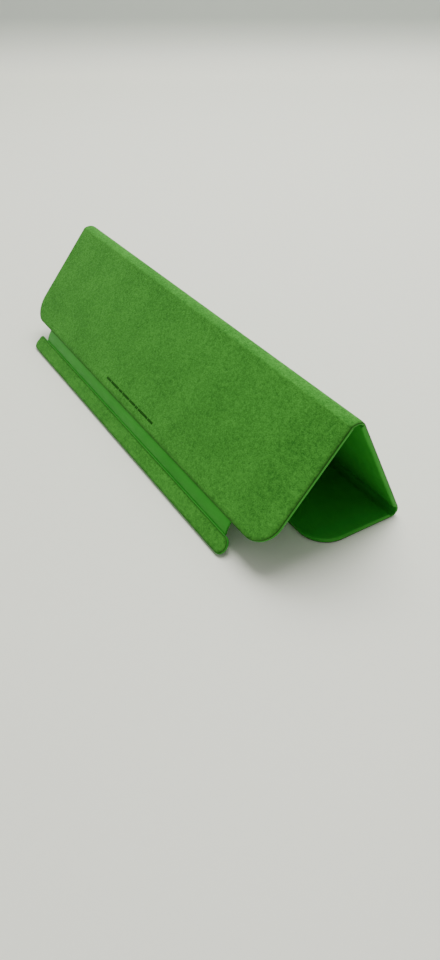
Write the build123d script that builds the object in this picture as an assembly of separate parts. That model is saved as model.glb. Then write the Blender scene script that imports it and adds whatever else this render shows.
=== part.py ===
"""Folding cover stand for a tablet, set up as an open tent.

Three stiff laminate panels, a narrow flap and a magnetic spine strip lie one after another on
one strip of material, joined by soft folds. The length runs along X, the front faces -Y and
+Z is up. The base panel lies on the table, the back panel leans over it, the front panel
slopes down from the ridge, and the spine strip stands on its outer edge in front.

The cross-section is walked from the spine's outer edge to the base panel's free edge, always
along the outer faces, with the lined side on the left. Each stretch has a heading: its angle
in the YZ plane, measured from +Y towards +Z. A panel's own frame has x along the length,
y along the heading and z out through the lining, with z = 0 on the lined face.

Dimensions are in millimetres, angles in degrees.
"""
from build123d import *
import math
import os

# Widths along the outer faces, from virtual corner to virtual corner
LENGTH = 238.0
FRONT_WIDTH = 63.4
BACK_WIDTH = 68.2
BASE_WIDTH = 44.5
FLAP_WIDTH = 6.3
SPINE_WIDTH = 7.8

# Headings of the stretches and the bow of the flap
FRONT_HEADING = 49.8
BACK_HEADING = -62.9
BASE_HEADING = -180.0
FLAP_HEADING = 64.9
FLAP_BOW = 26.0

# Laminate: a skin tray holds the stiffener, and the lining covers both
PANEL_THICKNESS = 2.2
LINING_THICKNESS = 0.5
SKIN_FLOOR = 0.5
SKIN_WALL = 0.9
SKIN_ROUND = 0.7
LINING_INSET = 0.2
CORNER_RADIUS = 12.4

# Folds, where the skin and the lining meet with no stiffener between them
RIDGE_RADIUS = 4.2
BASE_FOLD_RADIUS = 4.0
FOLD_SKIN = 0.6

# Flap: two bonded layers, set off centre on the length, with a hinge gap at each long edge
FLAP_THICKNESS = 1.0
FLAP_ENDS = (-92.3, 98.2)
HINGE_GAP = 0.3

# Spine strip
SPINE_LENGTH = 204.0
SPINE_THICKNESS = 1.8
SPINE_LINING = 0.4
SPINE_FLOOR = 0.4
SPINE_WALL = 0.8
SPINE_BEAD = 0.9
SPINE_CORNER = 3.6
SPINE_ROUND = 0.4

# Magnets and steel parts
LATCH_MAGNET = (12.0, 4.0, 0.8)
LATCH_SHUNT_WIDTH = 5.0
LATCH_FIRST_X = 58.0
LATCH_PITCH = 15.0
LATCH_COUNT = 4
LATCH_EDGE_GAP = 3.8
SLEEP_MAGNET = (8.0, 8.0)
SLEEP_X = 12.0
CATCH_PLATE = (60.0, 8.0, 0.5)
CATCH_X = 76.0
CATCH_EDGE_GAP = 5.6
SPINE_MAGNET = (10.0, 4.0, 0.8)
SPINE_SHUNT = (62.0, 4.0)
SPINE_FIRST_X = 41.0
SPINE_PITCH = 12.5
SPINE_COUNT = 5


def heading(angle):
    """Unit vector in the YZ plane at an angle from +Y towards +Z."""
    return Vector(0, math.cos(math.radians(angle)), math.sin(math.radians(angle)))


def outward(angle):
    """Unit normal on the lined side of a stretch with this heading."""
    return heading(angle + 90)


def along_x(first, pitch, count):
    """Positions of two mirrored rows along the length."""
    row = [first + pitch * index for index in range(count)]
    return [-x for x in reversed(row)] + row


class Fold:
    """A soft bend between two stretches, tangent to both outer faces."""

    def __init__(self, corner, before, after, radius):
        self.turn = before - after
        self.radius = radius
        self.setback = radius * math.tan(math.radians(self.turn / 2))
        self.start = corner - heading(before) * self.setback
        self.end = corner + heading(after) * self.setback
        self.centre = self.start - outward(before) * radius
        self.first_angle = after + 90
        membrane = LINING_THICKNESS + FOLD_SKIN
        neutral = radius - membrane / 2
        flat_half = neutral * math.radians(self.turn) / 2
        # From this axis both panels open flat with the membrane neither stretched nor slack
        reach = flat_half / math.sin(math.radians(self.turn / 2))
        self.axis = self.centre + outward((before + after) / 2) * reach

    def layer(self, outer, inner):
        """The part of the membrane between two depths under the outer face."""
        plane = Plane(origin=self.centre - Vector(LENGTH / 2, 0, 0), x_dir=(0, 1, 0), z_dir=(1, 0, 0))
        section = ring_sector(self.radius - inner, self.radius - outer, self.first_angle, self.turn)
        return extrude(plane * section, LENGTH)


def ring_sector(inner_radius, outer_radius, first_angle, sweep):
    """A flat ring sector about the origin."""
    outer_arc = CenterArc((0, 0), outer_radius, first_angle, sweep)
    inner_arc = CenterArc((0, 0), inner_radius, first_angle, sweep)
    sides = [Line(outer_arc @ end, inner_arc @ end) for end in (0, 1)]
    return make_face([outer_arc, inner_arc, *sides])


class Panel:
    """A flat stretch of laminate, with its own frame and free or folded long edges."""

    def __init__(self, start, angle, width, length, thickness, free=(True, True), corner=CORNER_RADIUS):
        self.angle = angle
        self.width = width
        self.length = length
        self.thickness = thickness
        self.free = free
        self.corner = corner
        self.plane = Plane(origin=start, x_dir=(1, 0, 0), z_dir=outward(angle))

    def outline(self, inset=0.0, fold_inset=0.0):
        """The panel's outline, drawn in by one distance at free edges and another at folds."""
        low, high = [inset if is_free else fold_inset for is_free in self.free]
        depth = self.width - low - high
        face = Pos(0, low + depth / 2) * Rectangle(self.length - 2 * inset, depth)
        for is_free, group in zip(self.free, (0, -1)):
            if is_free:
                face = fillet(face.vertices().group_by(Axis.Y)[group], self.corner - inset)
        return face

    def slab(self, face, top, bottom):
        """A solid between two depths under the lined face, in the panel's frame."""
        return Pos(0, 0, -bottom) * extrude(face, bottom - top)

    def free_edges(self, solid):
        """Edges of the solid's inner face that don't lie on a fold."""
        edges = solid.edges().group_by(Axis.Z)[0]
        folds = [y for y, is_free in zip((0, self.width), self.free) if not is_free]
        return [e for e in edges if all(abs(e.center().Y - y) > 0.01 for y in folds)]

    def tray(self, top, floor, wall, rounding):
        """Skin: a floor on the inner side and a wall all round, open under the lining."""
        body = self.slab(self.outline(), top, self.thickness)
        body = fillet(self.free_edges(body), rounding)
        return body - self.slab(self.outline(wall, wall), top, self.thickness - floor)

    def filler(self, top, floor, wall):
        """The solid that fills the tray."""
        return self.slab(self.outline(wall, wall), top, self.thickness - floor)

    def block(self, size, x, y, top):
        """A plain block centred at x, y with its outer face at one depth."""
        return Pos(x, y, -top - size[2] / 2) * Box(*size)

    def place(self, shape):
        return self.plane * shape


def group(solids):
    """Separate equal pieces kept together in one node."""
    return Compound(children=list(solids))


# The walk: corners of the outer faces, from the base panel back to the spine strip
base_corner = Vector(0, 0, 0)
ridge_corner = base_corner - heading(BACK_HEADING) * BACK_WIDTH
front_edge = ridge_corner - heading(FRONT_HEADING) * FRONT_WIDTH
crease = front_edge - heading(FLAP_HEADING) * FLAP_WIDTH
spine_diagonal = math.hypot(SPINE_WIDTH, SPINE_THICKNESS)
# The spine leans until the inner edge of its long side is down on the table
spine_heading = math.degrees(
    math.asin(crease.Z / spine_diagonal) - math.atan2(SPINE_THICKNESS, SPINE_WIDTH)
)
spine_edge = crease - heading(spine_heading) * SPINE_WIDTH

ridge = Fold(ridge_corner, FRONT_HEADING, BACK_HEADING, RIDGE_RADIUS)
base_fold = Fold(base_corner, BACK_HEADING, BASE_HEADING, BASE_FOLD_RADIUS)

front = Panel(
    front_edge, FRONT_HEADING, FRONT_WIDTH - ridge.setback, LENGTH, PANEL_THICKNESS, (True, False)
)
back = Panel(
    ridge.end,
    BACK_HEADING,
    BACK_WIDTH - ridge.setback - base_fold.setback,
    LENGTH,
    PANEL_THICKNESS,
    (False, False),
)
base = Panel(
    base_fold.end, BASE_HEADING, BASE_WIDTH - base_fold.setback, LENGTH, PANEL_THICKNESS, (False, True)
)
spine = Panel(
    spine_edge, spine_heading, SPINE_WIDTH, SPINE_LENGTH, SPINE_THICKNESS, corner=SPINE_CORNER
)

# Flap hinge lines: mid-flap, one nose radius and a gap beyond each neighbour's edge
nose = FLAP_THICKNESS / 2
flap_axis = (
    front_edge
    - outward(FRONT_HEADING) * (LINING_THICKNESS + nose)
    - heading(FRONT_HEADING) * (nose + HINGE_GAP)
)
spine_axis = (
    crease
    - outward(spine_heading) * (SPINE_LINING + nose)
    + heading(spine_heading) * (nose + HINGE_GAP)
)

# Depths under the lined face at which the fillers end
panel_filler = PANEL_THICKNESS - SKIN_FLOOR
spine_filler = SPINE_THICKNESS - SPINE_FLOOR


def skins_and_linings():
    """Skin trays and linings of the three panels."""
    nodes = {}
    for name, panel in (("front", front), ("back", back), ("base", base)):
        lining = panel.slab(panel.outline(LINING_INSET), 0, LINING_THICKNESS)
        nodes[name + "_lining"] = panel.place(lining)
        skin = panel.tray(LINING_THICKNESS, SKIN_FLOOR, SKIN_WALL, SKIN_ROUND)
        nodes[name + "_skin"] = panel.place(skin)
    return nodes


def base_inserts():
    """Stiffener of the base panel, its latch magnets with their steel strips, the sleep magnet."""
    depth = panel_filler - LINING_THICKNESS
    shunt_thickness = depth - LATCH_MAGNET[2]
    edge_y = base.width - SKIN_WALL - LATCH_EDGE_GAP
    places = along_x(LATCH_FIRST_X, LATCH_PITCH, LATCH_COUNT)
    magnets = [base.block(LATCH_MAGNET, x, edge_y, LINING_THICKNESS) for x in places]
    strip_length = LATCH_PITCH * (LATCH_COUNT - 1) + LATCH_MAGNET[0]
    strip_x = LATCH_FIRST_X + LATCH_PITCH * (LATCH_COUNT - 1) / 2
    strip = (strip_length, LATCH_SHUNT_WIDTH, shunt_thickness)
    strip_top = LINING_THICKNESS + LATCH_MAGNET[2]
    shunts = [base.block(strip, side * strip_x, edge_y, strip_top) for side in (-1, 1)]
    sleep_size = (*SLEEP_MAGNET, depth)
    sleep = base.block(sleep_size, SLEEP_X, edge_y - SLEEP_MAGNET[1] / 2, LINING_THICKNESS)
    board = base.filler(LINING_THICKNESS, SKIN_FLOOR, SKIN_WALL)
    for insert in (*magnets, *shunts, sleep):
        board -= insert
    return {
        "base_stiffener": base.place(board),
        "base_latch_magnets": base.place(group(magnets)),
        "base_magnet_strips": base.place(group(shunts)),
        "sleep_magnet": base.place(sleep),
    }


def front_inserts():
    """Stiffener of the front panel and the steel plates that the latch magnets hold."""
    top = panel_filler - CATCH_PLATE[2]
    plates = [front.block(CATCH_PLATE, side * CATCH_X, CATCH_EDGE_GAP, top) for side in (-1, 1)]
    board = front.filler(LINING_THICKNESS, SKIN_FLOOR, SKIN_WALL)
    for plate in plates:
        board -= plate
    return {
        "front_stiffener": front.place(board),
        "front_catch_plates": front.place(group(plates)),
    }


def folds():
    """Lining and skin membranes of the ridge and of the base fold."""
    nodes = {}
    for name, fold in (("ridge_fold", ridge), ("base_fold", base_fold)):
        nodes[name + "_lining"] = fold.layer(0, LINING_THICKNESS)
        nodes[name + "_skin"] = fold.layer(LINING_THICKNESS, LINING_THICKNESS + FOLD_SKIN)
    return nodes


def flap_layers():
    """The bowed flap between the two hinge lines, as an outer and an inner layer."""
    chord = flap_axis - spine_axis
    chord_angle = math.degrees(math.atan2(chord.Z, chord.Y))
    bow_radius = chord.length / 2 / math.sin(math.radians(FLAP_BOW / 2))
    middle = spine_axis + chord / 2
    centre = middle - outward(chord_angle) * (bow_radius * math.cos(math.radians(FLAP_BOW / 2)))
    first = chord_angle + 90 - FLAP_BOW / 2
    ends = [CenterArc((0, 0), bow_radius, first, FLAP_BOW) @ end for end in (0, 1)]
    noses = [Pos(point.X, point.Y) * Circle(nose) for point in ends]
    whole = ring_sector(bow_radius - nose, bow_radius + nose, first, FLAP_BOW) + noses
    plane = Plane(origin=centre + Vector(FLAP_ENDS[0], 0, 0), x_dir=(0, 1, 0), z_dir=(1, 0, 0))
    length = FLAP_ENDS[1] - FLAP_ENDS[0]
    core = Circle(bow_radius)
    return {
        "flap_skin": extrude(plane * (whole - core), length),
        "flap_backing": extrude(plane * (whole & core), length),
    }


def spine_parts():
    """Skin tray, carrier, magnets, steel strips and lining of the spine."""
    lining_face = spine.outline(LINING_INSET)
    keep = Pos(0, (SPINE_WIDTH - SPINE_BEAD) / 2) * Rectangle(SPINE_LENGTH, SPINE_WIDTH - SPINE_BEAD)
    bead = spine.slab(spine.outline() - keep, 0, SPINE_LINING)
    skin = spine.tray(SPINE_LINING, SPINE_FLOOR, SPINE_WALL, SPINE_ROUND) + bead
    middle_y = SPINE_WIDTH / 2
    places = along_x(SPINE_FIRST_X, SPINE_PITCH, SPINE_COUNT)
    magnets = [spine.block(SPINE_MAGNET, x, middle_y, SPINE_LINING) for x in places]
    strip_thickness = spine_filler - SPINE_LINING - SPINE_MAGNET[2]
    strip_top = SPINE_LINING + SPINE_MAGNET[2]
    strip_x = SPINE_FIRST_X + SPINE_PITCH * (SPINE_COUNT - 1) / 2
    strip = (*SPINE_SHUNT, strip_thickness)
    strips = [spine.block(strip, side * strip_x, middle_y, strip_top) for side in (-1, 1)]
    carrier = spine.filler(SPINE_LINING, SPINE_FLOOR, SPINE_WALL)
    for insert in (*magnets, *strips):
        carrier -= insert
    return {
        "spine_skin": spine.place(skin),
        "spine_carrier": spine.place(carrier),
        "spine_magnets": spine.place(group(magnets)),
        "spine_magnet_strips": spine.place(group(strips)),
        "spine_lining": spine.place(spine.slab(lining_face & keep, 0, SPINE_LINING)),
    }


nodes = {
    **skins_and_linings(),
    **base_inserts(),
    **front_inserts(),
    "back_stiffener": back.place(back.filler(LINING_THICKNESS, SKIN_FLOOR, SKIN_WALL)),
    **folds(),
    **flap_layers(),
    **spine_parts(),
}

# The row's origin is under the middle of the whole stand, on the table
box = Compound(children=[Compound(children=shape.solids()) for shape in nodes.values()]).bounding_box()
shift = Vector(0, -box.center().Y, -box.min.Z)

os.makedirs("parts", exist_ok=True)
for name, shape in nodes.items():
    placed = Compound(children=[solid.moved(Location(shift)) for solid in shape.solids()])
    export_step(placed, "parts/" + name + ".step")

print("pieces", len(nodes), "box", box.size)
for name, point in (
    ("base fold axis", base_fold.axis),
    ("ridge fold axis", ridge.axis),
    ("flap fold axis", flap_axis),
    ("spine fold axis", spine_axis),
    ("front face middle", front.plane.from_local_coords(Vector(0, front.width / 2, 0))),
    ("spine face middle", spine.plane.from_local_coords(Vector(0, spine.width / 2, 0))),
    ("base face middle", base.plane.from_local_coords(Vector(0, base.width / 2, 0))),
):
    print(name, point + shift)
print("spine heading", spine_heading, "fold turns", ridge.turn, base_fold.turn)
print("flat widths", front.width, back.width, base.width)
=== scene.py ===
# %% [markdown]
# # A folding cover stand for a tablet
#
# The real object is one long strip: three stiff panels, a narrow flap and a magnetic strip that
# are joined by soft folds. One side is lined with microfibre and the other is a smooth
# polyurethane skin. Set up as a stand, it is an open tent: the base panel lies on the table, the
# back panel leans over it and the front panel slopes down from the ridge.
#
# The stiff parts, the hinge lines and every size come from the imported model. This script builds
# what is seen: skins with a rounded rim, linings with a pressed edge, and folds that bend. It
# starts by loading the model as a fixed frame, and it measures that frame instead of guessing.

# %% Load the frame
import math

import bpy
import numpy as np
from mathutils import Matrix, Vector


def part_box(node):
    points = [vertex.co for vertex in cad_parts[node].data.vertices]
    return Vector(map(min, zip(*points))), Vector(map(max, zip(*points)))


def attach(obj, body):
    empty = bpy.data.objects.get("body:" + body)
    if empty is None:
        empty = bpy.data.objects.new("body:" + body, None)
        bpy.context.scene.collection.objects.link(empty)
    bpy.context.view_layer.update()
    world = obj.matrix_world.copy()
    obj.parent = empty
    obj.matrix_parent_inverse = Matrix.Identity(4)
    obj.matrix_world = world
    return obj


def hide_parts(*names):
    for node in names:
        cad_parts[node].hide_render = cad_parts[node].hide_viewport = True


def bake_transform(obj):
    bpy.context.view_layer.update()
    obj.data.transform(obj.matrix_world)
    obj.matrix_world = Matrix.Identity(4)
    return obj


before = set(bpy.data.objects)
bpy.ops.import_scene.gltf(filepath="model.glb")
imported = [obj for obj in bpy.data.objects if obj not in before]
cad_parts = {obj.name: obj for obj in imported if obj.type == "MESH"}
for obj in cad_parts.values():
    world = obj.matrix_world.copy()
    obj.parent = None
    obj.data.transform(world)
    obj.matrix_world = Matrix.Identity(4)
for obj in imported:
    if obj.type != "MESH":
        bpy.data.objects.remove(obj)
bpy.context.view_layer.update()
MM = 0.001
HAIR = 1e-6

# %% [markdown]
# ## Where the flat stretches lie
#
# A panel is easiest to model lying flat: x along its length, y across it and z out of the lined
# face. So each panel gets a frame of its own, and the finished piece is set down in it at the
# end. The frame is measured on the model: the largest triangle of a lining gives the face's
# direction, and the skin under it gives the edges. Typing in angles would also work, but then
# the two would part company at the first change of the design.

# %% Measure the panels and the spine
def corners_of(node):
    """All points of a node of the model."""
    return np.array([point.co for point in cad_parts[node].data.vertices])


class Lie:
    """How a flat stretch lies: its frame, its size, and its edges in the side view."""

    def __init__(self, name):
        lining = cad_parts[name + "_lining"].data
        skin = corners_of(name + "_skin")
        cloth = corners_of(name + "_lining")
        self.outward = max(lining.polygons, key=lambda face: face.area).normal.copy()
        if (cloth.mean(0) - skin.mean(0)) @ np.array(self.outward) < 0:
            self.outward.negate()
        self.along = self.outward.cross(Vector((1, 0, 0)))
        heights = cloth @ np.array(self.outward)
        across = skin @ np.array(self.along)
        self.face = heights.max()
        self.thickness = self.face - (skin @ np.array(self.outward)).min()
        self.width = across.max() - across.min()
        self.ends = (skin[:, 0].min(), skin[:, 0].max())
        self.low = self.outward * self.face + self.along * across.min()
        self.high = self.low + self.along * self.width
        self.heading = math.atan2(self.along.z, self.along.y)

    def matrix(self):
        """The frame as a matrix, with the origin in the middle of the low edge."""
        sides = Matrix((Vector((1, 0, 0)), self.along, self.outward)).transposed()
        return Matrix.Translation(self.low) @ sides.to_4x4()


lies = {name: Lie(name) for name in ("front", "back", "base", "spine")}
for name, lie in lies.items():
    length = lie.ends[1] - lie.ends[0]
    print(f"{name}: {lie.width / MM:.2f} x {length / MM:.1f} mm, {math.degrees(lie.heading):.1f} deg")

# %% [markdown]
# ## Selecting by place
#
# By hand, faces and edges are clicked. In a script they are found by where they are: a short
# test on a point, an edge or a face says whether it takes part in the next step. Everything
# else is deselected first, because an operator acts on all that is selected.

# %% Adding, choosing and setting down
def fresh(add, name, **settings):
    """Adds a primitive with nothing else selected, and names it and its mesh."""
    bpy.ops.object.select_all(action="DESELECT")
    add(**settings)
    bpy.context.object.name = bpy.context.object.data.name = name
    return bpy.context.object


def choose(piece, kind, test):
    """Selects the edges or faces that pass a test, and leaves the piece in edit mode."""
    bpy.ops.object.mode_set(mode="EDIT")
    bpy.ops.mesh.select_mode(type=kind)
    bpy.ops.mesh.select_all(action="DESELECT")
    bpy.ops.object.mode_set(mode="OBJECT")
    points = [point.co for point in piece.data.vertices]
    if kind == "EDGE":
        for edge in piece.data.edges:
            edge.select = bool(test(*(points[index] for index in edge.vertices)))
    else:
        for face in piece.data.polygons:
            face.select = bool(test(face.center, face.normal))
    bpy.ops.object.mode_set(mode="EDIT")


def block(name, ends, low, high, bottom, top):
    """The blank of a flat piece between two ends in x, in the frame of its stretch."""
    middle = (sum(ends) / 2, (low + high) / 2, (bottom + top) / 2)
    size = (ends[1] - ends[0], high - low, top - bottom)
    piece = fresh(bpy.ops.mesh.primitive_cube_add, name, size=1, location=middle, scale=size)
    bpy.ops.object.transform_apply(location=True, rotation=False, scale=True)
    return piece


def finish_mesh(piece, crease=35):
    """Turns the faces outwards, smooths the shading between sharp edges, and reports."""
    bpy.ops.object.mode_set(mode="EDIT")
    bpy.ops.mesh.select_all(action="SELECT")
    bpy.ops.mesh.remove_doubles(threshold=HAIR)
    bpy.ops.mesh.normals_make_consistent(inside=False)
    bpy.ops.object.mode_set(mode="OBJECT")
    bpy.ops.object.shade_smooth_by_angle(angle=math.radians(crease))
    used = {}
    for face in piece.data.polygons:
        for key in face.edge_keys:
            used[key] = used.get(key, 0) + 1
    open_edges = sum(count != 2 for count in used.values())
    print(f"{piece.name}: {len(piece.data.polygons)} faces, {open_edges} open edges")


def set_down(piece, matrix):
    """Puts a flat piece in its place, with the place in its mesh."""
    piece.matrix_world = matrix
    bpy.ops.object.transform_apply(location=True, rotation=True, scale=False)


# %% [markdown]
# ## Colours and finishes
#
# A finish is a network of nodes, and most of its nodes are small sums. Written node by node,
# they hide what they say. So a socket is wrapped in a small class that knows plus, minus and
# times, and any other node comes from one method. Everything reads Object coordinates: the
# panels' places are in their meshes, so the nap runs on from one piece to the next.

# %% A way to write materials
class Wire:
    """An output socket that can be used in sums."""

    def __init__(self, finish, socket):
        self.finish = finish
        self.socket = socket

    def sum(self, operation, first, second):
        return self.finish.node("ShaderNodeMath", {"operation": operation}, {0: first, 1: second})

    def __add__(self, other):
        return self.sum("ADD", self, other)

    def __sub__(self, other):
        return self.sum("SUBTRACT", self, other)

    def __mul__(self, other):
        return self.sum("MULTIPLY", self, other)

    def __rsub__(self, other):
        return self.sum("SUBTRACT", other, self)

    __radd__ = __add__
    __rmul__ = __mul__

    def clamped(self, low, high):
        """The value stretched so that low becomes 0 and high becomes 1, and held there."""
        ends = {"From Min": low, "From Max": high}
        return self.finish.node("ShaderNodeMapRange", {"clamp": True}, {"Value": self, **ends})


class Finish:
    """A material, built from a principled shader."""

    def __init__(self, name, **constants):
        self.material = bpy.data.materials.new(name)
        self.material.use_nodes = True
        self.tree = self.material.node_tree
        self.shader = self.tree.nodes["Principled BSDF"]
        for socket, value in constants.items():
            self.shader.inputs[socket.replace("_", " ")].default_value = value
        self.place = self.node("ShaderNodeTexCoord", output="Object")

    def node(self, kind, settings=None, sockets=None, output=0):
        """Adds a node, sets it up, fills its sockets and returns one output."""
        node = self.tree.nodes.new(kind)
        for key, value in (settings or {}).items():
            setattr(node, key, value)
        for key, value in (sockets or {}).items():
            self.fill(self.socket_of(node.inputs, key), value)
        return Wire(self, self.socket_of(node.outputs, output))

    def socket_of(self, sockets, key):
        """A socket by number, by name or by identifier."""
        if isinstance(key, int):
            return sockets[key]
        return next(socket for socket in sockets if key in (socket.identifier, socket.name))

    def fill(self, socket, value):
        """Links a wire to a socket, or sets the socket's value."""
        if isinstance(value, Wire):
            self.tree.links.new(value.socket, socket)
        else:
            socket.default_value = value

    def noise(self, size, detail=2.0, roughness=0.5, place=None):
        """Soft noise from 0 to 1 with features of about this size."""
        sockets = {"Vector": place or self.place, "Scale": 1 / size}
        sockets.update({"Detail": detail, "Roughness": roughness})
        return self.node("ShaderNodeTexNoise", None, sockets)

    def blend(self, share, first, second):
        """A colour between two colours."""
        sockets = {"Factor_Float": share, "A_Color": first, "B_Color": second}
        return self.node("ShaderNodeMix", {"data_type": "RGBA"}, sockets, "Result_Color")

    def stretched(self, scale):
        """The place with each axis scaled, for a grain that runs one way."""
        return self.node("ShaderNodeMapping", None, {"Vector": self.place, "Scale": scale})

    def relief(self, height, depth):
        """A bump map's normal: height from 0 to 1 stands for this many metres."""
        return self.node("ShaderNodeBump", None, {"Height": height, "Distance": depth, "Strength": 1.0})

    def use(self, **values):
        """Links what varies over the surface to the shader."""
        for socket, value in values.items():
            self.fill(self.shader.inputs[socket.replace("_", " ")], value)
        return self.material


# %% [markdown]
# ### Microfibre
#
# The lining is a suede: a nap of short fibres that lie this way and that. Close up it is a
# mottle of about a millimetre, and from further away there are broad soft clouds where a hand
# has brushed it. Noises of different sizes do this, and the finer ones are also the relief. The
# shader's sheen gives the pale bloom that a nap has at a low angle. Where the edge of the lining
# is pressed flat and slopes down, a darker band is painted in as shade. The mesh says where that
# is, in an attribute.

# %% Microfibre
def microfibre(name, dark, light, bloom):
    """Suede with a fine mottle, brushed clouds, a soft relief and painted shade along its pressed edge.
    """
    finish = Finish(name, Sheen_Weight=0.16, Sheen_Roughness=0.45, Sheen_Tint=bloom)
    finish.shader.inputs["Specular IOR Level"].default_value = 0.12
    fine = finish.noise(0.55 * MM, 2, 0.7)
    tuft = finish.noise(1.5 * MM, 2, 0.6)
    cloud = finish.noise(19 * MM, 3, 0.5)
    mottle = (fine * 0.75 + tuft * 0.50 + cloud * 0.25).clamped(0.57, 0.93)
    # The pressed edge is darkened towards a third of the dark nap colour: painted shade, mixed in by the
    # mesh's attribute.
    painted_shade_colour = tuple(part * 0.34 for part in dark[:3])
    painted_edge_shade = finish.node("ShaderNodeAttribute", {"attribute_name": "painted_edge_shade"}, output="Fac")
    nap = finish.blend(mottle, dark, light)
    height = fine * 0.6 + tuft * 0.5
    return finish.use(
        Base_Color=finish.blend(painted_edge_shade * 0.72, nap, (*painted_shade_colour, 1)),
        Roughness=0.8 + 0.15 * fine,
        Normal=finish.relief(height, 0.45 * MM),
    )


lining_cloth = microfibre(
    "green_microfibre", (0.020, 0.150, 0.013, 1), (0.078, 0.360, 0.042, 1), (0.5, 0.9, 0.3, 1)
)
# The cut sides get a near-black cloth: painted shade, for the dark line that they show along every edge.
lining_side_shade = microfibre(
    "microfibre_painted_side_shade", (0.020, 0.048, 0.006, 1), (0.034, 0.074, 0.011, 1), (0.3, 0.4, 0.2, 1)
)

# %% [markdown]
# ### Polyurethane
#
# The skin is a smooth coated sheet. It looks plain, but it isn't a single colour: it has a fine
# pebble grain of half a millimetre, faint clouds, and its gloss is uneven where it is handled.

# %% Polyurethane
def polyurethane(name, dark, light):
    """Coated sheet with a fine pebble grain and uneven gloss."""
    finish = Finish(name, Sheen_Weight=0.0)
    finish.shader.inputs["Specular IOR Level"].default_value = 0.09
    pebble = finish.node(
        "ShaderNodeTexVoronoi",
        {"feature": "SMOOTH_F1"},
        {"Vector": finish.place, "Scale": 1 / (0.55 * MM), "Smoothness": 0.6},
        "Distance",
    )
    cloud = finish.noise(14 * MM, 3, 0.5)
    smear = finish.noise(5 * MM, 4, 0.6)
    colour = finish.blend(cloud.clamped(0.3, 0.7), dark, light)
    return finish.use(
        Base_Color=colour,
        Roughness=0.38 + 0.16 * smear,
        Normal=finish.relief(pebble, 0.035 * MM),
    )


skin_sheet = polyurethane("green_polyurethane", (0.035, 0.288, 0.024, 1), (0.049, 0.332, 0.034, 1))

# %% [markdown]
# ### Inside the laminate
#
# The board, the carrier and the magnets can't be seen in the finished stand, but they are real
# pieces that someone may take out and look at. Board has fibres that run along it, the carrier
# is a moulded plastic, plated magnets are nearly mirrors, and rolled steel strip has fine lines.

# %% Board, carrier, magnets and strip
def fibre_board(name):
    """Grey board with fibres along the length."""
    finish = Finish(name)
    fibre = finish.noise(0.4 * MM, 4, 0.6, finish.stretched((0.15, 1, 1)))
    flock = finish.noise(3 * MM, 3, 0.5)
    mottle = (fibre * 0.6 + flock * 0.4).clamped(0.35, 0.65)
    colour = finish.blend(mottle, (0.20, 0.19, 0.17, 1), (0.38, 0.36, 0.32, 1))
    return finish.use(
        Base_Color=colour,
        Roughness=0.85 + 0.1 * fibre,
        Normal=finish.relief(fibre, 0.06 * MM),
    )


def moulded_plastic(name):
    """Dark matt plastic with a spark-eroded texture."""
    finish = Finish(name)
    spark = finish.noise(0.25 * MM, 3, 0.6)
    colour = finish.blend(spark.clamped(0.3, 0.7), (0.030, 0.032, 0.034, 1), (0.050, 0.052, 0.055, 1))
    return finish.use(
        Base_Color=colour,
        Roughness=0.5 + 0.15 * spark,
        Normal=finish.relief(spark, 0.02 * MM),
    )


def bright_metal(name, tone, roughness, along):
    """Plated or rolled metal, with its marks drawn out along x by a factor."""
    finish = Finish(name, Metallic=1.0)
    marks = finish.noise(0.3 * MM, 4, 0.6, finish.stretched((1 / along, 1, 1)))
    dull = finish.noise(4 * MM, 3, 0.5)
    pale = tuple(min(1, part * 1.15) for part in tone)
    colour = finish.blend(dull.clamped(0.3, 0.7), (*tone, 1), (*pale, 1))
    return finish.use(
        Base_Color=colour,
        Roughness=roughness + 0.15 * marks,
        Normal=finish.relief(marks, 0.006 * MM),
    )


board = fibre_board("stiffener_fibre_board")
carrier_plastic = moulded_plastic("moulded_carrier")
magnet_plate = bright_metal("nickel_plating", (0.62, 0.60, 0.57), 0.12, 1)
strip_steel = bright_metal("rolled_steel_strip", (0.46, 0.47, 0.48), 0.28, 12)

inner_finishes = {
    "stiffener": board,
    "carrier": carrier_plastic,
    "magnets": magnet_plate,
    "sleep_magnet": magnet_plate,
    "strips": strip_steel,
    "plates": strip_steel,
}
for ending, material in inner_finishes.items():
    for node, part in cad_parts.items():
        if node.endswith(ending):
            part.data.materials.clear()
            part.data.materials.append(material)
            print(f"{node}: {material.name}")

# %% [markdown]
# ## The panels' skins
#
# A skin is a shallow tray that holds the board. Its back is the smooth side of the stand: the
# sheet wraps round the edge in a wide curve, runs level over a narrow border where there is no
# board under it, and then steps up over the board. The blank is a block. Its free corners are
# bevelled round, its top is inset and pushed down for the board, the rim of its back is bevelled
# and the back is inset and raised. A bevelled cube would look much the same from far away, but
# it is the step along the border that catches the light inside the tent.

# %% Skin dimensions
CORNER_RADIUS = 12.4 * MM
CORNER_STEPS = 16
LINING_DEPTH = 0.5 * MM
POCKET_WALL = 0.9 * MM
SKIN_FLOOR = 0.5 * MM
BORDER_WIDTH = 2.3 * MM
BORDER_PRESS = 0.06 * MM
BORDER_SLOPE = 0.8 * MM
BACK_ROUND = 0.8 * MM
TOP_ROUND = 0.2 * MM
HOLDING_RING = 0.25 * MM


# %% Skin trays
def is_upright(a, b):
    """True for an edge that stands on the flat of a piece."""
    return abs(a.y - b.y) < HAIR < abs(a.z - b.z) and abs(a.x - b.x) < HAIR


def round_corners(piece, sides, radius, steps=CORNER_STEPS, end=0):
    """Bevels the upright edges at the sides given by their y, at both ends in x or at one."""
    if sides:
        choose(
            piece,
            "EDGE",
            lambda a, b: is_upright(a, b) and a.x * end >= 0 and any(abs(a.y - y) < HAIR for y in sides),
        )
        bpy.ops.mesh.bevel(offset=radius, segments=steps, affect="EDGES", clamp_overlap=False)


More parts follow.
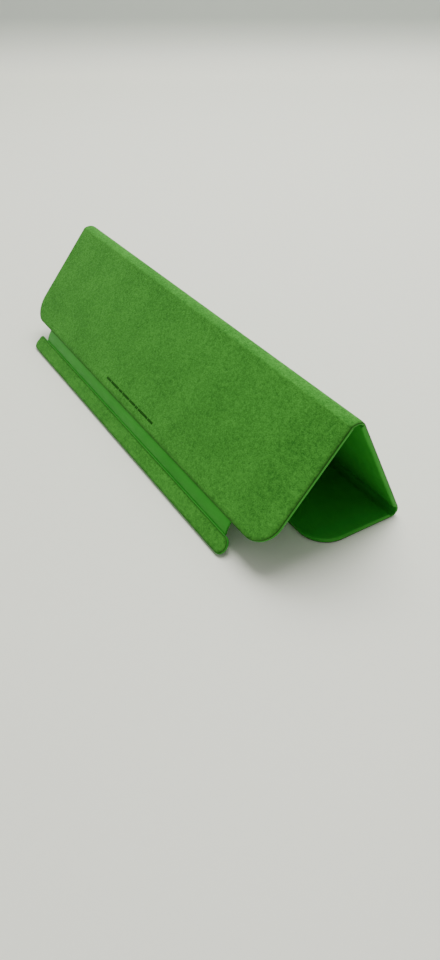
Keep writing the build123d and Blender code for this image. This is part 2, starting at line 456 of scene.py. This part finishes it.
def roll_rim(piece, height, radius, steps, stops=()):
    """Rounds the rim at one height, but not along the folds that are given by their y."""
    choose(
        piece,
        "EDGE",
        lambda a, b: abs(a.z - height) < HAIR
        and abs(b.z - height) < HAIR
        and not any(abs(a.y - y) < HAIR and abs(b.y - y) < HAIR for y in stops),
    )
    bpy.ops.mesh.bevel(offset=radius, segments=steps, affect="EDGES", clamp_overlap=False)


def face_at(piece, height, up):
    """Selects the flat faces at one height that look up or down."""
    choose(piece, "FACE", lambda c, n: abs(c.z - height) < HAIR and n.z * up > 0.99)


def sides_at(low, high, free, is_free):
    """The y of the long sides that are free, or of those that are folds."""
    return [y for y, side_free in zip((low, high), free) if side_free == is_free]


def skin_tray(name, lie, free):
    """The skin of a stiff panel."""
    bottom = BORDER_PRESS - lie.thickness
    piece = block(name, lie.ends, 0, lie.width, bottom, -LINING_DEPTH)
    round_corners(piece, sides_at(0, lie.width, free, True), CORNER_RADIUS)
    roll_rim(piece, -LINING_DEPTH, TOP_ROUND, 2, sides_at(0, lie.width, free, False))
    face_at(piece, -LINING_DEPTH, 1)
    bpy.ops.mesh.inset(thickness=POCKET_WALL - TOP_ROUND)
    floor_drop = LINING_DEPTH + SKIN_FLOOR - lie.thickness
    bpy.ops.mesh.extrude_region_move(TRANSFORM_OT_translate={"value": (0, 0, floor_drop)})
    roll_rim(piece, bottom, BACK_ROUND, 6)
    face_at(piece, bottom, -1)
    bpy.ops.mesh.inset(thickness=BORDER_WIDTH - BACK_ROUND)
    bpy.ops.mesh.inset(thickness=BORDER_SLOPE, depth=BORDER_PRESS)
    bpy.ops.mesh.inset(thickness=HOLDING_RING)
    finish_mesh(piece)
    piece.data.materials.append(skin_sheet)
    set_down(piece, lie.matrix())
    return piece


free_edges = {"front": (True, False), "back": (False, False), "base": (False, True)}
for name, free in free_edges.items():
    tray = skin_tray(name + "_skin_shell", lies[name], free)
    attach(tray, name + "_panel")
    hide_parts(name + "_skin")

# %% [markdown]
# ## The panels' linings
#
# The lining is a sheet that is glued down over board and skin, almost out to the edge. It is
# pressed flat with heat along its free edges, so it slopes down there over two millimetres. Its
# cut side gets a near-black cloth as painted shade, and its slope is darkened with painted shade.
# So the blank has the height of the pressed edge, and its middle is raised in a few insets. A
# panel's lining has no edge where it runs on into a fold: the blank is made too long there, and
# is cut off at the line of the fold after the insets, so that the slope at its ends runs straight out.

# %% Lining sheets
LINING_GAP = 0.12 * MM
EDGE_DROP = 0.24 * MM
EDGE_ROLL = 0.05 * MM
PRESSED = ((0.45 * MM, 0.45), (0.50 * MM, 0.28), (0.50 * MM, 0.17), (0.50 * MM, 0.10))
PAST_FOLD = 4 * MM


def press_edges(piece, steps):
    """Raises the middle of a blank: each inset has a width and a share of the drop."""
    roll_rim(piece, -EDGE_DROP, EDGE_ROLL, 2)
    face_at(piece, -EDGE_DROP, 1)
    for width, share in steps:
        bpy.ops.mesh.inset(thickness=width, depth=share * EDGE_DROP)
    bpy.ops.mesh.inset(thickness=HOLDING_RING)


def cut_off(piece, place, side):
    """Cuts off what lies on one side of a line across a flat piece, and closes the cut."""
    bpy.ops.mesh.select_all(action="SELECT")
    plane = {"plane_co": (0, place, 0), "plane_no": (0, side, 0)}
    bpy.ops.mesh.bisect(**plane, use_fill=True, clear_outer=True, threshold=HAIR)


def dress(piece):
    """Gives a sheet its cloth, near-black painted shade on its cut side, and the attribute that says how
    much painted shade each point of its pressed edge gets.
    """
    bpy.ops.object.mode_set(mode="OBJECT")
    piece.data.materials.append(lining_cloth)
    piece.data.materials.append(lining_side_shade)
    # Faces that stand on edge get the near-black cloth: painted shade on the cut side.
    for face in piece.data.polygons:
        face.material_index = int(abs(face.normal.z) < 0.5)
    # The attribute runs from 1 at the foot of the pressed slope to 0 on top, and says how much painted
    # shade the cloth gets there.
    painted_edge_shade = piece.data.attributes.new("painted_edge_shade", "FLOAT", "POINT")
    for point, value in zip(piece.data.vertices, painted_edge_shade.data):
        value.value = min(1.0, max(0.0, -point.co.z / EDGE_DROP))


def cut_sheet(name, ends, width, free, radius):
    """A flat sheet of lining with pressed free edges, in the frame of its stretch."""
    low = LINING_GAP if free[0] else -PAST_FOLD
    high = width - LINING_GAP if free[1] else width + PAST_FOLD
    inner_ends = (ends[0] + LINING_GAP, ends[1] - LINING_GAP)
    piece = block(name, inner_ends, low, high, -LINING_DEPTH, -EDGE_DROP)
    round_corners(piece, sides_at(low, high, free, True), radius - LINING_GAP)
    press_edges(piece, PRESSED)
    for place, side, is_free in ((0, -1, free[0]), (width, 1, free[1])):
        if not is_free:
            cut_off(piece, place, side)
    dress(piece)
    return piece


for name, free in free_edges.items():
    lie = lies[name]
    sheet = cut_sheet(name + "_lining_sheet", lie.ends, lie.width, free, CORNER_RADIUS)
    finish_mesh(sheet)
    set_down(sheet, lie.matrix())
    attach(sheet, name + "_panel")
    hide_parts(name + "_lining")

# %% [markdown]
# ## The folds
#
# Between two boards the lining and the skin meet, and the two sheets bend. Such a fold isn't a
# round arc: the ridge turns quickly at the edge of each board and more gently between, and the
# fold at the table leaves the boards in a wide curve and turns in the middle. So the line of a
# fold, seen from the side, is four arcs. The radius of the outer two is given. The radii of the
# two between are worked out, because the line has to start and end on the panels: where an arc
# ends depends on its radius in proportion, so that is a pair of linear equations.
#
# The sheets are cut flat, like the panels' own, with cross cuts to bend at, and are then laid
# along the line. A flat piece keeps its true width that way. A simple deform modifier makes one
# round arc only, and a curve modifier turns a piece about a curve less exactly than this does.

# %% Bent lines
def outward_of(heading):
    """Unit normal on the lined side of a heading in the side view."""
    return Vector((0, -math.sin(heading), math.cos(heading)))


def arc_step(heading, turn, radius):
    """The step from start to end of an arc that turns towards the inside."""
    after = heading - turn
    across = math.sin(heading) - math.sin(after)
    up = math.cos(after) - math.cos(heading)
    return Vector((0, across, up)) * radius


class BentLine:
    """A line in the side view made of arcs, each with a turn towards the inside and a radius."""

    def __init__(self, start, heading, arcs):
        self.marks = [(0.0, start, heading, 0.0)]
        for turn, radius in arcs:
            length, point, along, _ = self.marks[-1]
            self.marks[-1] = (length, point, along, 1 / radius)
            end = point + arc_step(along, turn, radius)
            self.marks.append((length + turn * radius, end, along - turn, 0.0))
        self.length = self.marks[-1][0]

    def at(self, distance):
        """The point and the heading at a distance along the line, straight on past its ends."""
        passed = [mark for mark in self.marks if mark[0] <= distance]
        length, point, heading, bend = passed[-1] if passed else (*self.marks[0][:3], 0.0)
        run = distance - length
        if bend == 0.0:
            return point + Vector((0, math.cos(heading), math.sin(heading))) * run, heading
        return point + arc_step(heading, run * bend, 1 / bend), heading - run * bend


def line_between(start, heading, end, turns, outer):
    """A line of four arcs that reaches a given end: the outer two have the given radius."""
    headings = [heading - sum(turns[:index]) for index in range(4)]
    steps = [arc_step(along, turn, 1.0) for along, turn in zip(headings, turns)]
    signs = [math.copysign(1.0, turn) for turn in turns]
    rest = end - start - (steps[0] * signs[0] + steps[3] * signs[3]) * outer
    square = np.array([[steps[1].y, steps[2].y], [steps[1].z, steps[2].z]])
    second, third = np.linalg.solve(square, [rest.y, rest.z])
    radii = (signs[0] * outer, second, third, signs[3] * outer)
    return BentLine(start, heading, list(zip(turns, radii)))


def lay_along(piece, line):
    """Lays a flat piece along a bent line: y runs along it and z stands off it."""
    bpy.ops.object.mode_set(mode="OBJECT")
    for point in piece.data.vertices:
        foot, heading = line.at(point.co.y)
        place = foot + outward_of(heading) * point.co.z
        point.co = (point.co.x, place.y, place.z)


def cut_across(piece, low, high, spacing):
    """Cuts a flat piece across at even steps, so that it can bend."""
    count = max(2, round((high - low) / spacing))
    bpy.ops.object.mode_set(mode="EDIT")
    for index in range(1, count):
        bpy.ops.mesh.select_all(action="SELECT")
        cut = low + (high - low) * index / count
        bpy.ops.mesh.bisect(plane_co=(0, cut, 0), plane_no=(0, 1, 0), threshold=HAIR)
    bpy.ops.object.mode_set(mode="OBJECT")


def fold_line(before, after, first_degrees, share, last_degrees, outer):
    """The line of a fold from the high edge of one panel to the low edge of the next."""
    turn = (before.heading - after.heading) % (2 * math.pi)
    first, last = math.radians(first_degrees), math.radians(last_degrees)
    rest = turn - first - last
    turns = (first, rest * share, rest * (1 - share), last)
    return line_between(before.high, before.heading, after.low, turns, outer)


ridge_line = fold_line(lies["front"], lies["back"], 28, 0.43, 10, 1.25 * MM)
base_line = fold_line(lies["back"], lies["base"], 14, 0.5, 14, 9 * MM)
for name, line in (("ridge", ridge_line), ("base", base_line)):
    radii = [round(1 / mark[3] / MM, 2) for mark in line.marks if mark[3]]
    print(f"{name} fold: {line.length / MM:.2f} mm of sheet, radii {radii}")

# %% Fold membranes
FOLD_SKIN = 0.6 * MM
FOLD_TUCK = 0.35 * MM
BEND_SPACING = 0.32 * MM


def membrane(name, ends, low, high, top, thickness):
    """A flat strip of skin with rounded ends, in the frame of its stretch."""
    piece = block(name, ends, low, high, top - thickness, top)
    roll_rim(piece, top, thickness * 0.2, 3, (low, high))
    roll_rim(piece, top - thickness, thickness * 0.6, 4, (low, high))
    bpy.ops.object.mode_set(mode="OBJECT")
    piece.data.materials.append(skin_sheet)
    return piece


def bend_piece(piece, line, low, high):
    """Cuts a flat piece across, lays it along a line and finishes it."""
    cut_across(piece, low, high, BEND_SPACING)
    lay_along(piece, line)
    finish_mesh(piece)


def hand_over(piece, node):
    """Bakes a bending piece's place into its mesh, and hides the node of the model that it stands for.
    """
    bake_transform(piece)
    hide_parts(node)


fold_cloths = []
for name, line, bodies in (
    ("ridge_fold", ridge_line, ("back_panel", "front_panel")),
    ("base_fold", base_line, ("base_panel", "back_panel")),
):
    first, last = line.at(line.length)[0], line.at(0)[0]
    cloth = cut_sheet(name + "_lining_sheet", lies["back"].ends, line.length, (False, False), 0)
    bend_piece(cloth, line, 0, line.length)
    hand_over(cloth, name + "_lining")
    fold_cloths.append(cloth)
    reach = (-FOLD_TUCK, line.length + FOLD_TUCK)
    skin = membrane(name + "_skin_sheet", lies["back"].ends, *reach, -LINING_DEPTH, FOLD_SKIN)
    bend_piece(skin, line, 0, line.length)
    hand_over(skin, name + "_skin")

# %% [markdown]
# ### What the linings were cut to
#
# The linings are cloth, so the script says how large each one was cut. They are bonded down flat
# and don't sag or stretch. On the real object the three and the cloth of the folds are one
# sheet. Here each panel's part is worked out by itself, and the folds' narrow parts are not
# counted.

def cut_size(name, rounded):
    """Width, length and area of a panel's lining, less what its rounded corners lack."""
    width = lies[name].width - LINING_GAP * rounded / 2
    length = lies[name].ends[1] - lies[name].ends[0] - 2 * LINING_GAP
    lacking = rounded * (1 - math.pi / 4) * (CORNER_RADIUS - LINING_GAP) ** 2
    return width, length, width * length - lacking


for name, rounded, joined in (("front", 2, ()), ("back", 0, fold_cloths), ("base", 2, ())):
    width, length, area = cut_size(name, rounded)
    name + "_skin_shell"
    print(f"{name} lining: cut {width / MM:.1f} x {length / MM:.1f} mm, {area * 1e4:.1f} cm2")

# %% [markdown]
# ## The spine strip
#
# The strip along the front holds magnets in a carrier. It is a small tray like the panels'
# skins, with a lining of its own that leaves a fine line of skin along the crease. That line is
# a bead: the skin is turned up into the crease there, and the flap starts behind it. The bead is
# a moulding of its own here, because a raised rim on one side only is easier to add than to cut
# out of the tray. The two corners at the crease are unlike the outer two: the left one is nearly
# square and the right one is round. So every corner is rounded by itself.

# %% Spine tray, lining and bead
OUTER_CORNER = 3.3 * MM
LEFT_CREASE_CORNER = 1.6 * MM
RIGHT_CREASE_CORNER = 4.3 * MM
SPINE_LINING = 0.4 * MM
SPINE_WALL = 0.8 * MM
SPINE_FLOOR = 0.4 * MM
SPINE_ROUND = 0.55 * MM
BEAD_WIDTH = 0.4 * MM
BEAD_RISE = 0.04 * MM


def round_strip(piece, low, high, width):
    """Rounds the four corners of a strip that lies inside the tray's outline."""
    round_corners(piece, (low,), OUTER_CORNER - low, 10)
    round_corners(piece, (high,), LEFT_CREASE_CORNER - (width - high), 6, end=-1)
    round_corners(piece, (high,), RIGHT_CREASE_CORNER - (width - high), 10, end=1)


spine = lies["spine"]
shell = block("spine_skin_shell", spine.ends, 0, spine.width, -spine.thickness, -SPINE_LINING)
round_strip(shell, 0, spine.width, spine.width)
roll_rim(shell, -SPINE_LINING, TOP_ROUND, 3)
face_at(shell, -SPINE_LINING, 1)
bpy.ops.mesh.inset(thickness=SPINE_WALL - TOP_ROUND)
spine_drop = SPINE_LINING + SPINE_FLOOR - spine.thickness
bpy.ops.mesh.extrude_region_move(TRANSFORM_OT_translate={"value": (0, 0, spine_drop)})
roll_rim(shell, -spine.thickness, SPINE_ROUND, 5)
face_at(shell, -spine.thickness, -1)
bpy.ops.mesh.inset(thickness=HOLDING_RING)
finish_mesh(shell)
shell.data.materials.append(skin_sheet)

strip_ends = (spine.ends[0] + LINING_GAP, spine.ends[1] - LINING_GAP)
strip_high = spine.width - BEAD_WIDTH
strip = block("spine_lining_sheet", strip_ends, LINING_GAP, strip_high, -SPINE_LINING, -EDGE_DROP)
round_strip(strip, LINING_GAP, strip_high, spine.width)
press_edges(strip, ((0.35 * MM, 0.55), (0.35 * MM, 0.30), (0.35 * MM, 0.15)))
dress(strip)
finish_mesh(strip)

bead_ends = (spine.ends[0] + LEFT_CREASE_CORNER, spine.ends[1] - RIGHT_CREASE_CORNER)
bead_high = spine.width - 0.02 * MM
bead = block("spine_bead", bead_ends, strip_high, bead_high, -SPINE_LINING, BEAD_RISE)
round_corners(bead, (strip_high, bead_high), BEAD_WIDTH * 0.4, 5)
roll_rim(bead, BEAD_RISE, BEAD_WIDTH * 0.38, 5)
finish_mesh(bead)
bead.data.materials.append(skin_sheet)

for piece, node, slot in (
    (shell, "spine_skin", "polyurethane_skin"),
    (bead, "spine_skin", "polyurethane_skin"),
    (strip, "spine_lining", "microfibre_lining"),
):
    bpy.ops.object.select_all(action="DESELECT")
    piece.select_set(True)
    bpy.context.view_layer.objects.active = piece
    set_down(piece, spine.matrix())
    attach(piece, "spine")
    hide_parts(node)

# %% [markdown]
# ## The flap
#
# The flap hangs the strip from the front panel. It is two bonded sheets that leave the panel
# under the lining's edge, bow outwards, and turn sharply into the crease behind the bead. It
# folds at both of its long edges, and a blend works across one hinge only. So each sheet is
# made as an upper and a lower half that meet on the middle line, where both follow the flap.

# %% Flap sheets
FLAP_SHEET = 0.5 * MM
FLAP_TUCK = 0.5 * MM
CREASE_RADIUS = 0.7 * MM
HINGE_REACH = 1.9 * MM
LEFT_REACH = 1.3 * MM
RIGHT_CUT_BACK = 1.0 * MM

flap_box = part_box("flap_skin")
flap_ends = (flap_box[0].x - LEFT_REACH, flap_box[1].x - RIGHT_CUT_BACK)
front = lies["front"]
flap_start = spine.high - spine.outward * SPINE_LINING
flap_end = front.low - front.outward * LINING_DEPTH
crease_turn = math.radians(-42)
tuck_turn = math.radians(3)
bow_turn = spine.heading - front.heading - crease_turn - tuck_turn
turns = (crease_turn, bow_turn * 0.5, bow_turn * 0.5, tuck_turn)
flap_line = line_between(flap_start, spine.heading, flap_end, turns, CREASE_RADIUS)
middle = flap_line.length / 2
ends_in_mm = [round(end / MM, 1) for end in flap_ends]
print(f"flap: {flap_line.length / MM:.2f} mm of sheet, from and to x in mm: {ends_in_mm}")

for layer, node in enumerate(("flap_skin", "flap_backing")):
    top = -layer * FLAP_SHEET
    for part, low, high, bodies, hinge in (
        ("lower", -FLAP_TUCK, middle, ("flap", "spine"), (HINGE_REACH, -0.2 * MM)),
        (
            "upper",
            middle,
            flap_line.length + FLAP_TUCK,
            ("front_panel", "flap"),
            (flap_line.length + 0.2 * MM, flap_line.length - HINGE_REACH),
        ),
    ):
        sheet = membrane(f"{node}_{part}", flap_ends, low, high, top, FLAP_SHEET)
        bend_piece(sheet, flap_line, low, high)
        start, end = (flap_line.at(distance)[0] for distance in hinge)
        hand_over(sheet, node)

# %% [markdown]
# ## The printed line
#
# A line of small print runs along the foot of the front lining. What it says doesn't matter
# here, so it is a row of plain dashes in groups, as thick as a coat of ink. One dash is
# modelled, and each copy has a mesh of its own before they are joined.

# %% Printed dashes
DASH = (1.04 * MM, 1.2 * MM)
INK = 0.02 * MM
PRINT_HEIGHT = 4.9 * MM
PRINT_ENDS = (-23 * MM, 26 * MM)
GROUPS = (4, 7, 3, 6, 5, 2, 8, 4)
GROUP_GAP = 0.4

ink = Finish("print_ink")
ink.shader.inputs["Specular IOR Level"].default_value = 0.05
blot = ink.noise(0.5 * MM, 3, 0.6)
ink.use(
    Base_Color=ink.blend(blot, (0.006, 0.045, 0.004, 1), (0.014, 0.080, 0.008, 1)),
    Roughness=0.6 + 0.2 * blot,
)
half_high = DASH[1] / 2
first = block("printed_dashes", (0, DASH[0]), -half_high, half_high, 0, INK)
round_corners(first, (-half_high, half_high), 0.15 * MM, 3)
finish_mesh(first)
first.data.materials.append(ink.material)

count = sum(GROUPS) + GROUP_GAP * (len(GROUPS) - 1)
pitch = (PRINT_ENDS[1] - PRINT_ENDS[0]) / count
offsets = []
cell = 0
for group in GROUPS:
    offsets += [PRINT_ENDS[0] + (cell + index) * pitch for index in range(group)]
    cell += group + GROUP_GAP
for offset in offsets[1:]:
    dash = first.copy()
    dash.data = first.data.copy()
    dash.location.x = offset
    bpy.context.scene.collection.objects.link(dash)
    dash.select_set(True)
first.location.x = offsets[0]
bpy.context.view_layer.objects.active = first
bpy.ops.object.join()
bpy.ops.object.transform_apply(location=True, rotation=False, scale=False)
set_down(first, front.matrix() @ Matrix.Translation((0, PRINT_HEIGHT, 0)))
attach(first, "front_panel")
print(f"printed line: {len(offsets)} dashes, {pitch / MM:.2f} mm apart")

# %% [markdown]
# ## Camera, floor and light
#
# The stand is seen from above its right end. The floor is a pale sheet that turns up into a wall
# far behind, as in a studio: a plane is turned to face the camera, its far edge is extruded
# upwards, and a bevel makes the turn soft. One broad softbox behind the stand gives the gentle
# shadows in front of it, and a plain white world fills in the rest.

# %% Camera
camera = bpy.data.objects.new("camera", bpy.data.cameras.new("camera"))
bpy.context.scene.collection.objects.link(camera)
camera.data.lens = 27.24
camera.location = (0.2762, -0.1453, 0.2018)
camera.rotation_euler = (math.radians(51.535), 0, math.radians(58.387))
bpy.context.scene.camera = camera

# %% Floor and wall
FLOOR_REACH = 3.0
WALL_DISTANCE = 0.95
WALL_HEIGHT = 1.5
COVE_RADIUS = 0.07

floor = fresh(bpy.ops.mesh.primitive_plane_add, "floor", size=2 * FLOOR_REACH)
choose(floor, "EDGE", lambda a, b: a.y > 0 and b.y > 0)
bpy.ops.transform.translate(value=(0, WALL_DISTANCE - FLOOR_REACH, 0))
bpy.ops.mesh.extrude_region_move(TRANSFORM_OT_translate={"value": (0, 0, WALL_HEIGHT)})
choose(
    floor,
    "EDGE",
    lambda a, b: all(abs(p.y - WALL_DISTANCE) < HAIR and abs(p.z) < HAIR for p in (a, b)),
)
bpy.ops.mesh.bevel(offset=COVE_RADIUS, segments=24, affect="EDGES", clamp_overlap=False)
bpy.ops.object.mode_set(mode="OBJECT")
bpy.ops.object.shade_smooth_by_angle(angle=math.radians(35))
floor.rotation_euler = (0, 0, camera.rotation_euler.z)
bpy.ops.object.transform_apply(location=False, rotation=True, scale=False)
print("floor and wall:", len(floor.data.polygons), "faces")

floor_paint_and_wall_shade = Finish("floor_paint_and_wall_shade")
speck = floor_paint_and_wall_shade.noise(4 * MM, 3, 0.6)
# The cove and the wall are painted a darker grey the higher they rise, up to the top of the cove:
# painted shade, for a wall that gets less light than the floor.
height = floor_paint_and_wall_shade.node("ShaderNodeSeparateXYZ", None, {"Vector": floor_paint_and_wall_shade.place}, "Z")
pale = floor_paint_and_wall_shade.blend(speck, (0.90, 0.91, 0.79, 1), (0.93, 0.94, 0.82, 1))
floor_paint_and_wall_shade.use(
    Base_Color=floor_paint_and_wall_shade.blend(height.clamped(0.002, COVE_RADIUS), pale, (0.52, 0.56, 0.52, 1)),
    Roughness=0.5 + 0.1 * speck,
)
floor.data.materials.append(floor_paint_and_wall_shade.material)


# %% Light
world = bpy.data.worlds.new("studio")
bpy.context.scene.world = world
world.use_nodes = True
world.node_tree.nodes["Background"].inputs["Color"].default_value = (1, 1, 1, 1)
world.node_tree.nodes["Background"].inputs["Strength"].default_value = 0.42
bpy.ops.object.light_add(type="AREA", location=(-0.4, 0.5, 1.2))
lamp = bpy.context.object
lamp.name = "softbox"
lamp.data.size = 1.2
lamp.data.energy = 33
lamp.rotation_euler = (math.radians(-22), math.radians(-18), 0)
print("lights: a white world and a softbox of", lamp.data.energy, "W")
